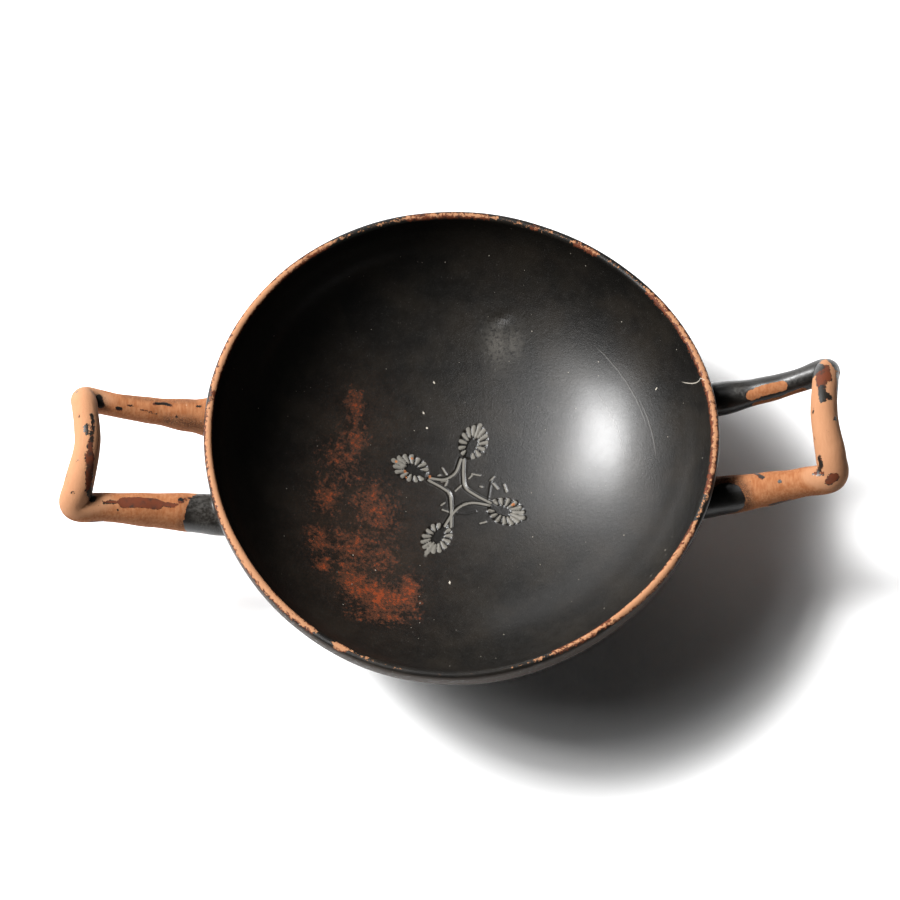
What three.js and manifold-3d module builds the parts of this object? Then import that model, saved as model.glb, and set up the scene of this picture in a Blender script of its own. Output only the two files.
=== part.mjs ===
// A stemless drinking cup of fired clay: a shallow bowl on a low ring foot, two handles that run
// outwards from the wall, turn up at their corners and lean back over a round bar, and four linked
// palmettes stamped in the floor. The potter joined it wet and fired it once, so it is one solid.
// Millimetres, +Z up. The cup stands on z = 0, and the origin is the middle of its box, so the
// bowl's axis is a little to one side: one handle reaches further out than the other.
import * as THREE from "three";
import { mergeVertices } from "three/addons/utils/BufferGeometryUtils.js";
import Module from "manifold-3d";

// Bowl. The inside and the outside are half ellipses that meet the round lip upright.
const RIM_RADIUS = 80;
const CUP_HEIGHT = 56;
const BOWL_DEPTH = 42;
const LIP_WIDTH = 2.8;
const FLOOR_WALL = 5.2; // the wall measured straight down, where the floor meets the foot

// Foot: a ring that bulges outwards, rests on a flat track and is hollow underneath.
const FOOT_NECK_RADIUS = 35.5;
const FOOT_BULGE = 4;
const FOOT_TRACK_OUTER = 36.6;
const FOOT_TRACK_INNER = 30.5;
const FOOT_RECESS = 8;
const RECESS_RADIUS = 24;
const RECESS_BOSS = 1; // how far the middle of the recess hangs down again

// The rim is thrown by hand: its radius wanders by these amounts, as waves round it.
const RIM_WANDER = [
  { waves: 3, cosine: 0.75, sine: 0.63 },
  { waves: 4, cosine: 0.28, sine: -0.07 },
];

// Handles. Drops and rises are from the rim, reaches outwards from the rim's radius, and spans
// sideways from the handle's middle line. Thicknesses are diameters of the round bar.
const HANDLE_TURN = 2.75; // degrees that both handles are turned, seen from above
const ROOT_DROP = 17.5;
const FAR_ARM = { rootSpan: 15.8, cornerSpan: 17.9, root: 17.2, end: 7.7, corner: 8.5, taper: 2.8 };
const NEAR_ARM = { rootSpan: 17.4, cornerSpan: 18, root: 14.4, end: 7.8, corner: 9.7, taper: 0.9 };
const CORNER_TUCK = 0.4; // the corner's middle is this much short of the arm's full reach
const BAR_THICKNESS = 8.7;
const BAR_END_TUCK = 4.3; // the bar's ends lie this much nearer to the middle line than the corners
const BAR_END_RISE = 1;
const BAR_LEAN = 0.4; // how far the bar's ends have leant back already, as a share of the whole lean
const BAR_RISE = 2.9;
const LEFT_HANDLE = { turn: 180, far: 36.9, near: 39.5, bar: 34.8, corner: -3.3, curve: 1.12 };
const RIGHT_HANDLE = { turn: 0, far: 36.5, near: 34.9, bar: 33.2, corner: -2.3, curve: 1.75 };
const TRIM_DEPTH = 1; // handles end this deep inside the wall

// Stamped ornament: its middle is a little off the floor's, as the stamps were set by eye.
const STAMP_CENTRE = new THREE.Vector2(-0.4, -0.6);
const PALMETTE_LENGTH = 12.1;
const PALMETTE_WIDTH = 9.2;
const STAMP_DEPTH = 0.5;
const FIELD_TAPER = 0.84; // the hollow's size at its bottom, as a share of its size above the floor
const PETAL_COUNT = 13;
const PETAL_WIDTH = 1.35;
const PETAL_LENGTH = 3;
const TALL_PETAL_LENGTH = 4.4;
const LAST_PETAL_LENGTH = 1.7;
const PETAL_RELIEF = 0.7;
const PETAL_FAN = 152; // degrees from the tall petal to the last one on each side
const GROOVE_WIDTH = 1.05;
const GROOVE_DEPTH = 0.4;
// Each palmette: where it sits round the middle, which way it points, and its foot, where two
// grooves end with a gap between them, below zero where they cross first. The last number says how
// near the middle the groove passes that leads on to the next palmette.
const PALMETTES = [
  { angle: 72.9, radius: 17.5, points: 69, foot: { angle: 82, radius: 11, gap: 0.9 }, pass: 5.3 },
  { angle: 154.3, radius: 16.8, points: 157, foot: { angle: 157.6, radius: 9.9, gap: 0.9 }, pass: 2.9 },
  { angle: 249.5, radius: 18.7, points: 240, foot: { angle: 257, radius: 13.2, gap: -2 }, pass: 5.5 },
  { angle: 333.4, radius: 17.6, points: 334, foot: { angle: 335, radius: 11.7, gap: 0.9 }, pass: 2.8 },
];

// How finely round shapes are cut into facets
const LATHE_SEGMENTS = 54;
const BOWL_STEPS = 10;
const LIP_STEPS = 5;
const FOOT_STEPS = 6;
const RECESS_STEPS = 4;
const HANDLE_SIDES = 9;
const HANDLE_STEPS = 45;
const FIELD_SIDES = 14;
const PETAL_SIDES = 6;
const PETAL_RINGS = 3;
const GROOVE_SIDES = 6;
const GROOVE_STEPS = 10;
const MERGE_DISTANCE = 1e-4;

const CLAY_GLOSS = new THREE.MeshStandardMaterial({ color: 0x262220, roughness: 0.42, metalness: 0 });

// Measures that follow from the sizes above
const lipRadius = LIP_WIDTH / 2;
const lipHeight = CUP_HEIGHT - lipRadius; // where the two half ellipses have their middle
const inside = { radius: RIM_RADIUS - LIP_WIDTH, depth: BOWL_DEPTH - lipRadius };
const outside = { radius: RIM_RADIUS, depth: inside.depth + FLOOR_WALL };

const wasm = await Module();
wasm.setup();

const radians = THREE.MathUtils.degToRad;
const lerp = THREE.MathUtils.lerp;

// The near corners reach furthest. This brings them to the same distance from the origin.
const bowlX =
  (LEFT_HANDLE.near - RIGHT_HANDLE.near) / 2 - NEAR_ARM.cornerSpan * Math.sin(radians(HANDLE_TURN));

// Height of a half ellipse at a distance from the axis, and its radius at a height
const heightAt = (bowl, radius) => lipHeight - bowl.depth * Math.sqrt(1 - (radius / bowl.radius) ** 2);
const radiusAt = (bowl, height) => bowl.radius * Math.sqrt(1 - ((lipHeight - height) / bowl.depth) ** 2);
const floorHeight = (x, y) => heightAt(inside, Math.hypot(x, y));

// A closed geometry as a solid: shared corners merged, collapsed faces dropped.
function solidOf(geometry) {
  const bare = geometry.clone();
  bare.deleteAttribute("normal");
  bare.deleteAttribute("uv");
  const merged = mergeVertices(bare, MERGE_DISTANCE);
  const corners = merged.index.array;
  const kept = [];
  for (let i = 0; i < corners.length; i += 3) {
    const [a, b, c] = corners.subarray(i, i + 3);
    if (a !== b && b !== c && c !== a) kept.push(a, b, c);
  }
  return new wasm.Manifold(
    new wasm.Mesh({
      numProp: 3,
      vertProperties: merged.attributes.position.array,
      triVerts: new Uint32Array(kept),
    }),
  );
}

function geometryOf(solid) {
  const mesh = solid.getMesh();
  const geometry = new THREE.BufferGeometry();
  geometry.setAttribute("position", new THREE.BufferAttribute(mesh.vertProperties, 3));
  geometry.setIndex(new THREE.BufferAttribute(mesh.triVerts, 1));
  geometry.computeVertexNormals();
  return geometry;
}

// Moves every corner of a geometry by a function of its place.
function reshape(geometry, move) {
  const position = geometry.attributes.position;
  const point = new THREE.Vector3();
  for (let i = 0; i < position.count; i++) {
    move(point.fromBufferAttribute(position, i));
    position.setXYZ(i, point.x, point.y, point.z);
  }
  return geometry;
}

const wave = ({ waves, cosine, sine }, angle) =>
  cosine * Math.cos(waves * angle) + sine * Math.sin(waves * angle);

// The hand-thrown wander of the rim, which fades to nothing at the foot
function warp(point) {
  const share = Math.min(point.z / CUP_HEIGHT, 1) ** 2;
  const angle = Math.atan2(point.y, point.x);
  const wander = RIM_WANDER.reduce((sum, part) => sum + wave(part, angle), 0);
  const stretch = 1 + (share * wander) / RIM_RADIUS;
  point.set(point.x * stretch, point.y * stretch, point.z);
}

// A profile of [radius, height] pairs turned about the upright axis, with the rim's wander
function turned(profile) {
  const points = profile.map(([radius, height]) => new THREE.Vector2(radius, height));
  const lathe = new THREE.LatheGeometry(points, LATHE_SEGMENTS).rotateX(Math.PI / 2);
  return solidOf(reshape(lathe, warp));
}

// Points along an ellipse from one angle to another, in degrees
function arc(centreRadius, centreHeight, acrossHalf, uprightHalf, from, to, steps) {
  return Array.from({ length: steps + 1 }, (_, i) => {
    const angle = radians(lerp(from, to, i / steps));
    return [centreRadius + acrossHalf * Math.cos(angle), centreHeight + uprightHalf * Math.sin(angle)];
  });
}

// Points along a half ellipse of the bowl, from one radius up to the lip
function bowlCurve(bowl, fromRadius) {
  const start = Math.asin(fromRadius / bowl.radius);
  return Array.from({ length: BOWL_STEPS + 1 }, (_, i) => {
    const angle = lerp(start, Math.PI / 2, i / BOWL_STEPS);
    return [bowl.radius * Math.sin(angle), lipHeight - bowl.depth * Math.cos(angle)];
  });
}

// Bowl and foot in one closed profile, from the middle underneath, round the outside to the floor
function bowlSolid() {
  const neckHeight = heightAt(outside, FOOT_NECK_RADIUS);
  const bulgeMiddle = neckHeight / 2;
  const bulgeEnd = -68; // the bulge turns under as far as this angle, then meets the track
  const recess = arc(RECESS_RADIUS, 0, FOOT_TRACK_INNER - RECESS_RADIUS, FOOT_RECESS, 90, 0, RECESS_STEPS);
  const bulge = arc(FOOT_NECK_RADIUS, bulgeMiddle, FOOT_BULGE, bulgeMiddle, bulgeEnd, 78, FOOT_STEPS);
  const lip = arc(RIM_RADIUS - lipRadius, lipHeight, lipRadius, lipRadius, 0, 180, LIP_STEPS);
  return turned([
    [0, FOOT_RECESS - RECESS_BOSS],
    ...recess,
    [FOOT_TRACK_OUTER, 0],
    ...bulge,
    ...bowlCurve(outside, FOOT_NECK_RADIUS + FOOT_BULGE / 2),
    ...lip.slice(1, -1),
    ...bowlCurve(inside, 0).reverse(),
  ]);
}

// What is taken off the handles, so that they end inside the wall and not in the bowl
function trimSolid() {
  const grown = { radius: inside.radius + TRIM_DEPTH, depth: inside.depth + TRIM_DEPTH };
  const top = CUP_HEIGHT + BOWL_DEPTH;
  return turned([...bowlCurve(grown, 0), [grown.radius, top], [0, top]]);
}

// A round bar along a smooth line through stations, each with its place and its thickness
function bar(stations, sides, steps) {
  const curve = new THREE.CatmullRomCurve3(stations.map((s) => s.place), false, "centripetal");
  const along = new THREE.CylinderGeometry(1, 1, 1, sides, steps, false);
  const rings = [];
  let normal = new THREE.Vector3(0, 0, 1);
  for (let i = 0; i <= steps; i++) {
    const t = i / steps;
    const tangent = curve.getTangent(t);
    normal = normal.clone().addScaledVector(tangent, -normal.dot(tangent)).normalize();
    const last = Math.min(Math.floor(t * (stations.length - 1)), stations.length - 2);
    const blend = THREE.MathUtils.smoothstep(t * (stations.length - 1) - last, 0, 1);
    const radius = lerp(stations[last].thickness, stations[last + 1].thickness, blend) / 2;
    rings.push({ middle: curve.getPoint(t), normal, side: tangent.clone().cross(normal), radius });
  }
  return solidOf(
    reshape(along, (point) => {
      const ring = rings[Math.round((point.y + 0.5) * steps)];
      const across = point.x * ring.radius;
      const up = point.z * ring.radius;
      point.copy(ring.middle).addScaledVector(ring.side, across).addScaledVector(ring.normal, up);
    }),
  );
}

// One handle: from the wall out along an arm, up round the corner, along the bar and back again.
function handleSolid(handle) {
  const turn = new THREE.Matrix4().makeRotationZ(radians(handle.turn + HANDLE_TURN));
  const farSide = Math.cos(radians(handle.turn)) > 0 ? 1 : -1;
  const rootHeight = CUP_HEIGHT - ROOT_DROP;
  const station = (out, across, height, thickness) => ({
    place: new THREE.Vector3(out, across, height).applyMatrix4(turn),
    thickness,
  });
  // Shares of the way out where an arm has a station. The first is inside the bowl, and trimmed off.
  const shares = [-0.08, 0.12, 0.32, 0.55, 0.8];
  const arm = (side, reach, { rootSpan, cornerSpan, root, end, taper }) => {
    const rootRadius = Math.sqrt(radiusAt(inside, rootHeight) ** 2 - rootSpan ** 2);
    return shares.map((share) => {
      const way = Math.max(share, 0);
      const rise = Math.sign(share) * Math.abs(share) ** handle.curve;
      return station(
        lerp(rootRadius, RIM_RADIUS + reach, share),
        side * lerp(rootSpan, cornerSpan, way ** 2),
        lerp(rootHeight, CUP_HEIGHT + handle.corner, rise),
        lerp(root, end, 1 - (1 - way) ** taper),
      );
    });
  };
  const turnUp = (side, reach, { cornerSpan, corner }) => {
    const barEnd = RIM_RADIUS + lerp(reach, handle.bar, BAR_LEAN);
    const barSpan = cornerSpan - BAR_END_TUCK;
    return [
      station(RIM_RADIUS + reach - CORNER_TUCK, side * cornerSpan, CUP_HEIGHT + handle.corner, corner),
      station(barEnd, side * barSpan, CUP_HEIGHT + BAR_END_RISE, corner),
    ];
  };
  return bar(
    [
      ...arm(farSide, handle.far, FAR_ARM),
      ...turnUp(farSide, handle.far, FAR_ARM),
      station(RIM_RADIUS + handle.bar, 0, CUP_HEIGHT + BAR_RISE, BAR_THICKNESS),
      ...turnUp(-farSide, handle.near, NEAR_ARM).reverse(),
      ...arm(-farSide, handle.near, NEAR_ARM).reverse(),
    ],
    HANDLE_SIDES,
    HANDLE_STEPS,
  );
}

// Lays a shape made flat round its own middle on the floor, at a place and turned to an angle
function laid(geometry, place, angle) {
  geometry.rotateZ(radians(angle)).translate(place.x, place.y, 0);
  return solidOf(reshape(geometry, (point) => point.setZ(point.z + floorHeight(point.x, point.y))));
}

const polar = (radius, angle) =>
  new THREE.Vector2(Math.cos(radians(angle)), Math.sin(radians(angle))).multiplyScalar(radius);

function petal(length) {
  const round = new THREE.SphereGeometry(1, PETAL_SIDES, PETAL_RINGS).rotateX(Math.PI / 2);
  return round.scale(length / 2, PETAL_WIDTH / 2, PETAL_RELIEF).translate(0, 0, -STAMP_DEPTH / 2);
}

// One stamp: petals fanned round an oval. The one that points outwards is tall and stands proud.
function palmettePetals(centre, points) {
  return Array.from({ length: PETAL_COUNT }, (_, i) => {
    const fan = lerp(-PETAL_FAN, PETAL_FAN, i / (PETAL_COUNT - 1));
    const tall = i === Math.floor(PETAL_COUNT / 2);
    const shorter = lerp(PETAL_LENGTH, LAST_PETAL_LENGTH, Math.abs(fan) / PETAL_FAN);
    const length = tall ? TALL_PETAL_LENGTH : shorter;
    const proud = tall ? (TALL_PETAL_LENGTH - PETAL_LENGTH) / 2 : 0;
    const place = new THREE.Vector2(
      (PALMETTE_LENGTH / 2 - length / 2 + proud) * Math.cos(radians(fan)),
      (PALMETTE_WIDTH / 2 - length / 2) * Math.sin(radians(fan)),
    ).rotateAround(new THREE.Vector2(), radians(points));
    return laid(petal(length), place.add(centre), points + fan);
  });
}

// The flat hollow that the stamp leaves, with sloped sides
function palmetteField(centre, points) {
  const shape = new THREE.CylinderGeometry(1, FIELD_TAPER, 2 * STAMP_DEPTH, FIELD_SIDES).rotateX(Math.PI / 2);
  return laid(shape.scale(PALMETTE_LENGTH / 2, PALMETTE_WIDTH / 2, 1), centre, points);
}

// The groove from one palmette's foot past the middle to the next one's
function linkGroove(palmette, next) {
  const end = ({ foot }, side) => {
    const aside = polar((side * foot.gap) / 2, foot.angle + 90);
    return polar(foot.radius, foot.angle).add(aside);
  };
  const turnOn = (next.angle - palmette.angle + 360) % 360;
  const middle = polar(palmette.pass, palmette.angle + turnOn / 2);
  const ends = [end(palmette, 1), end(next, -1)];
  const bends = ends.map((p) => p.clone().lerp(middle, 0.5).multiplyScalar(0.84)); // drawn inwards
  const stations = [ends[0], bends[0], middle, bends[1], ends[1]].map((p) => {
    const { x, y } = p.clone().add(STAMP_CENTRE);
    const height = floorHeight(x, y) + GROOVE_WIDTH / 2 - GROOVE_DEPTH;
    return { place: new THREE.Vector3(x, y, height), thickness: GROOVE_WIDTH };
  });
  return bar(stations, GROOVE_SIDES, GROOVE_STEPS);
}

function cupSolid() {
  const trim = trimSolid();
  const handles = [LEFT_HANDLE, RIGHT_HANDLE].map((handle) => handleSolid(handle).subtract(trim));
  const centres = PALMETTES.map((p) => polar(p.radius, p.angle).add(STAMP_CENTRE));
  const fields = PALMETTES.map((p, i) => palmetteField(centres[i], p.points));
  const grooves = PALMETTES.map((p, i) => linkGroove(p, PALMETTES[(i + 1) % PALMETTES.length]));
  const petals = PALMETTES.flatMap((p, i) => palmettePetals(centres[i], p.points));
  const cut = [...fields, ...grooves].reduce((cup, tool) => cup.subtract(tool), bowlSolid());
  return [...handles, ...petals].reduce((cup, piece) => cup.add(piece), cut);
}

const cup = new THREE.Mesh(geometryOf(cupSolid()), CLAY_GLOSS);
cup.name = "kylix_cup";
cup.position.x = bowlX;

const model = new THREE.Group();
model.add(cup);

export default model;
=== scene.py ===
# %% [markdown]
# # A worn black-gloss drinking cup
# A small Greek cup for wine: a shallow bowl on a low ring foot, with two bar handles. The packed
# solid already has every real size. This script makes one finer mesh of the same cup, with its
# stamped flowers and its wear, and gives it a finish made only from nodes.

# %% Load the fixed frame
import math

import bmesh
import bpy
import numpy as np
from mathutils import Matrix, Vector, noise
from mathutils.kdtree import KDTree


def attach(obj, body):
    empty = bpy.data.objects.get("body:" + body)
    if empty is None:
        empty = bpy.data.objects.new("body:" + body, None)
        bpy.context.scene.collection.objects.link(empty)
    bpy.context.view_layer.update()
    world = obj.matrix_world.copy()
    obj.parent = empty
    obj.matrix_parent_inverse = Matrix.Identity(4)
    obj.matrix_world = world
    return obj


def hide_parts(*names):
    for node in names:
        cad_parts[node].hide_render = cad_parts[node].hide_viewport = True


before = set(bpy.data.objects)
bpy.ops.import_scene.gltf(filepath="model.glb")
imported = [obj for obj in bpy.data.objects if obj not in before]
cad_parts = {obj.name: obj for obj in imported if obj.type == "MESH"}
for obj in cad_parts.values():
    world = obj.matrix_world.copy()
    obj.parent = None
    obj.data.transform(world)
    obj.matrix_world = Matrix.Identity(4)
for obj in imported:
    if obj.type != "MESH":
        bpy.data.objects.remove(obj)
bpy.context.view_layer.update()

# %% [markdown]
# ## Sizes
# The sizes are the solid's own, in millimetres from the bowl's axis. A mesh in metres has many
# zeros to misread, so the cup is worked out in millimetres and scaled once, at the very end. The
# bowl isn't quite in the middle of the frame, because one handle reaches further than the other.

# %% Sizes of the bowl and the foot, and the reach of the handles
MM = 0.001
RIM_RADIUS = 80
CUP_HEIGHT = 56
BOWL_DEPTH = 42
LIP_WIDTH = 2.8
FLOOR_WALL = 5.2
FOOT_NECK_RADIUS = 35.5
FOOT_BULGE = 4
FOOT_TRACK_OUTER = 36.6
FOOT_TRACK_INNER = 30.5
FOOT_RECESS = 8
RECESS_RADIUS = 24
RECESS_BOSS = 1

LIP_RADIUS = LIP_WIDTH / 2
LIP_HEIGHT = CUP_HEIGHT - LIP_RADIUS
INSIDE = (RIM_RADIUS - LIP_WIDTH, BOWL_DEPTH - LIP_RADIUS)
OUTSIDE = (RIM_RADIUS, BOWL_DEPTH - LIP_RADIUS + FLOOR_WALL)
LEFT_REACH = 39.5
RIGHT_REACH = 34.9
CORNER_SPAN = 18
HANDLE_TURN = 2.75
BOWL_X = (LEFT_REACH - RIGHT_REACH) / 2 - CORNER_SPAN * math.sin(math.radians(HANDLE_TURN))
print("the bowl's axis stands at x =", round(BOWL_X, 3), "mm")

# %% [markdown]
# ## Camera, floor and light
# The cup was photographed from high above, on white, in the light of a soft lamp at the upper left.
# A small cup wants a long lens from under a metre away. One plain area lamp gives either a highlight
# that is too wide or a shadow that is too hard. So three lamps of growing size share one direction:
# the smallest makes the bright middle of the highlight, and the larger ones soften the shadow's
# edge. A dim, low lamp from the far left adds the faint sheen in the bowl's lower right. The fill
# is kept low, because the hollow of a black bowl should stay dark.

# %% Camera at the photograph's angle
ELEVATION = math.radians(65.10)
ROLL = math.radians(-0.39)
LENS = 110.01
CAMERA_DISTANCE = 0.85
AIM_FROM_AXIS = (-2.84, -5.75)


def placed(name, data):
    """A new object of the scene that shows some data."""
    thing = bpy.data.objects.new(name, data)
    bpy.context.collection.objects.link(thing)
    return thing


aim = Vector((BOWL_X + AIM_FROM_AXIS[0], AIM_FROM_AXIS[1], CUP_HEIGHT)) * MM
back = Vector((0, -math.cos(ELEVATION), math.sin(ELEVATION)))
up = Vector((0, math.sin(ELEVATION), math.cos(ELEVATION)))
right = Vector((1, 0, 0))
camera_data = bpy.data.cameras.new("camera")
camera_data.lens = LENS
camera_data.clip_start = 0.05
camera = placed("camera", camera_data)
turned_right = math.cos(ROLL) * right - math.sin(ROLL) * up
turned_up = math.sin(ROLL) * right + math.cos(ROLL) * up
turn = Matrix((turned_right, turned_up, back)).transposed().to_4x4()
camera.matrix_world = Matrix.Translation(aim + back * CAMERA_DISTANCE) @ turn
bpy.context.scene.camera = camera
print("camera at", tuple(round(c, 3) for c in camera.location))

# %% Pale floor
floor_mesh = bmesh.new()
bmesh.ops.create_grid(floor_mesh, x_segments=1, y_segments=1, size=4)
floor_data = bpy.data.meshes.new("floor")
floor_mesh.to_mesh(floor_data)
floor_mesh.free()
floor = placed("floor", floor_data)
paper = bpy.data.materials.new("pale_paper")
paper.use_nodes = True
paper_surface = paper.node_tree.nodes["Principled BSDF"].inputs
paper_surface["Base Color"].default_value = (0.9, 0.9, 0.9, 1)
paper_surface["Roughness"].default_value = 0.9
paper_surface["Specular IOR Level"].default_value = 0.0
floor_data.materials.append(paper)
print("floor of pale paper")

# %% Lamps and a low fill
LAMP_REACH = 1.5
LAMP_WAY = Vector((-0.60, 0.215, 0.77)).normalized()
BACKDROP_WAY = Vector((-0.5, 0.83, 0.27)).normalized()
# Each lamp is its name, its direction, its width and length in metres, and its power in watts.
LAMPS = [
    ("key_lamp", LAMP_WAY, 0.38, 0.28, 27),
    ("key_lamp_edge", LAMP_WAY, 0.8, 0.5, 37),
    ("key_lamp_spill", LAMP_WAY, 1.4, 0.95, 14),
    ("pale_backdrop", BACKDROP_WAY, 1.3, 0.8, 6.5),
]


def soft_lamp(name, way, width, length, power):
    """A rectangular lamp that looks at the cup from a direction."""
    lamp_data = bpy.data.lights.new(name, "AREA")
    lamp_data.shape = "RECTANGLE"
    lamp_data.size = width
    lamp_data.size_y = length
    lamp_data.energy = power
    lamp = placed(name, lamp_data)
    turn = way.to_track_quat("Z", "Y").to_matrix().to_4x4()
    lamp.matrix_world = Matrix.Translation(way * LAMP_REACH) @ turn


for lamp_row in LAMPS:
    soft_lamp(*lamp_row)
world = bpy.data.worlds.new("studio")
world.use_nodes = True
fill = world.node_tree.nodes["Background"].inputs
fill["Color"].default_value = (1, 1, 1, 1)
fill["Strength"].default_value = 0.026
bpy.context.scene.world = world
bpy.context.scene.view_settings.view_transform = "Standard"
print(len(LAMPS), "lamps and a low fill")

# %% [markdown]
# ## The bowl
# A potter turns the bowl on a wheel, so half of its outline, spun round the axis, makes it. The
# outline is a chain of single vertices along the same curves as the solid. It is fine where the
# floor is stamped and coarser on the plain outside. Cutting the flowers out of a coarse bowl with
# Booleans would leave long thin faces, so the floor gets enough vertices to be pressed instead.

# %% The outline, from the middle of the floor over the lip to the middle underneath
def height_at(bowl, radius):
    """Height of one of the bowl's two half ellipses, at a distance from the axis."""
    return LIP_HEIGHT - bowl[1] * np.sqrt(1 - (radius / bowl[0]) ** 2)


def radius_at(bowl, height):
    """Radius of one of the bowl's two half ellipses, at a height."""
    return bowl[0] * np.sqrt(np.clip(1 - ((LIP_HEIGHT - height) / bowl[1]) ** 2, 0, 1))


def arc(centre_radius, centre_height, across, upright, start, end, steps):
    """Places along an ellipse from one angle to another, in degrees."""
    angles = np.radians(np.linspace(start, end, steps + 1))
    return np.stack([centre_radius + across * np.cos(angles), centre_height + upright * np.sin(angles)], 1)


def bowl_arc(bowl, start, end, steps):
    """Places along a half ellipse of the bowl, between two radii."""
    angles = np.linspace(math.asin(start / bowl[0]), math.asin(end / bowl[0]), steps + 1)
    return np.stack([bowl[0] * np.sin(angles), LIP_HEIGHT - bowl[1] * np.cos(angles)], 1)


neck_height = float(height_at(OUTSIDE, FOOT_NECK_RADIUS))
outline = np.concatenate([
    bowl_arc(INSIDE, 0, 26, 76),
    bowl_arc(INSIDE, 26, INSIDE[0], 40)[1:],
    arc(RIM_RADIUS - LIP_RADIUS, LIP_HEIGHT, LIP_RADIUS, LIP_RADIUS, 180, 0, 10)[1:],
    bowl_arc(OUTSIDE, RIM_RADIUS, FOOT_NECK_RADIUS + FOOT_BULGE / 2, 20)[1:],
    arc(FOOT_NECK_RADIUS, neck_height / 2, FOOT_BULGE, neck_height / 2, 78, -68, 9),
    [[FOOT_TRACK_OUTER, 0], [(FOOT_TRACK_OUTER + FOOT_TRACK_INNER) / 2, 0]],
    arc(RECESS_RADIUS, 0, FOOT_TRACK_INNER - RECESS_RADIUS, FOOT_RECESS, 0, 90, 6),
    np.stack([np.linspace(21, 0, 8), np.linspace(FOOT_RECESS - 0.125, FOOT_RECESS - RECESS_BOSS, 8)], 1),
])
print(len(outline), "places on the outline")

# %% Spin the outline
SPIN_STEPS = 420


def turned(half_outline, steps):
    """A closed mesh from half of its outline, spun round the axis."""
    mesh = bmesh.new()
    chain = [mesh.verts.new((radius, 0, height)) for radius, height in half_outline]
    links = [mesh.edges.new(pair) for pair in zip(chain, chain[1:])]
    bmesh.ops.spin(
        mesh, geom=chain + links, cent=(0, 0, 0), axis=(0, 0, 1),
        angle=2 * math.pi, steps=steps, use_merge=True,
    )
    bmesh.ops.remove_doubles(mesh, verts=mesh.verts, dist=1e-3)
    bmesh.ops.recalc_face_normals(mesh, faces=mesh.faces)
    return mesh


bowl_mesh = turned(outline, SPIN_STEPS)
print("bowl:", len(bowl_mesh.faces), "faces, open edges:", sum(e.is_boundary for e in bowl_mesh.edges))

# %% [markdown]
# ## Pressed flowers and linking grooves
# Four palmettes were stamped in the wet floor and joined by grooves drawn with a point. Each stamp
# leaves an oval hollow with petals standing in it. Here every vertex of the floor asks how deep it
# lies in a hollow, how high on a petal, and how near a groove. The same answers say later where the
# gloss has worn to silver grey, and where shade is painted dark in the hollows and along the grooves'
# edges, so the colour always sits on the form.

# %% Places of the stamps
STAMP_CENTRE = np.array([-0.4, -0.6])
PALMETTE_LENGTH = 12.1
PALMETTE_WIDTH = 9.2
STAMP_DEPTH = 0.5
PETAL_COUNT = 13
PETAL_FAN = 152
PETAL_INSET = 0.75
PETAL_ROOT = 0.4
PETAL_TIP = 0.85
PETAL_HEIGHT = 0.62
PALMETTE_HEART = np.array([-0.9, 0.0])
GROOVE_WIDTH = 1.05
GROOVE_DEPTH = 0.4
PALMETTES = [
    {"angle": 72.9, "radius": 17.5, "points": 69, "foot": (82, 11, 0.9), "pass": 5.3},
    {"angle": 154.3, "radius": 16.8, "points": 157, "foot": (157.6, 9.9, 0.9), "pass": 2.9},
    {"angle": 249.5, "radius": 18.7, "points": 240, "foot": (257, 13.2, -2), "pass": 5.5},
    {"angle": 333.4, "radius": 17.6, "points": 334, "foot": (335, 11.7, 0.9), "pass": 2.8},
]


def polar(radius, degrees):
    """A place on the floor, from its distance and its direction."""
    return radius * np.array([math.cos(math.radians(degrees)), math.sin(math.radians(degrees))])


def ease(value, low, high):
    """0 below low, 1 above high, and a soft step between them."""
    share = np.clip((value - low) / (high - low), 0, 1)
    return share * share * (3 - 2 * share)


print(len(PALMETTES), "palmettes of", PETAL_COUNT, "petals")

# %% How high a place stands on a palmette
def on_palmette(places, palmette):
    """Depth in the stamp's hollow, from 0 to 1, and height on its petals, from 0 to 1."""
    local = places - STAMP_CENTRE - polar(palmette["radius"], palmette["angle"])
    turn = math.radians(palmette["points"])
    along = local[:, 0] * math.cos(turn) + local[:, 1] * math.sin(turn)
    aside = local[:, 1] * math.cos(turn) - local[:, 0] * math.sin(turn)
    out = np.hypot(along / (PALMETTE_LENGTH / 2), aside / (PALMETTE_WIDTH / 2))
    hollow = ease(out, 1.03, 0.86)
    height = np.zeros(len(places))
    for i, fan in enumerate(np.radians(np.linspace(-PETAL_FAN, PETAL_FAN, PETAL_COUNT))):
        share = abs(fan) / math.radians(PETAL_FAN)
        uneven = 0.12 * math.sin(3.7 * i + palmette["angle"])
        length = 4.3 if share < 0.01 else 3.2 - 2.0 * share + uneven
        proud = 0.8 if share < 0.01 else 0.1 + uneven
        tip = np.array([
            (PALMETTE_LENGTH / 2 - PETAL_INSET + proud) * math.cos(fan),
            (PALMETTE_WIDTH / 2 - PETAL_INSET + proud) * math.sin(fan),
        ])
        way = (tip - PALMETTE_HEART) / np.hypot(*(tip - PALMETTE_HEART))
        root = tip - length * way
        on_line = np.clip((along - root[0]) * way[0] + (aside - root[1]) * way[1], 0, length)
        half_width = PETAL_ROOT + (PETAL_TIP - 0.04 * share - PETAL_ROOT) * (on_line / length) ** 0.7
        off = np.hypot(along - root[0] - on_line * way[0], aside - root[1] - on_line * way[1])
        height = np.maximum(height, np.sqrt(np.clip(1 - (off / half_width) ** 2, 0, 1)))
    return hollow, height


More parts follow.
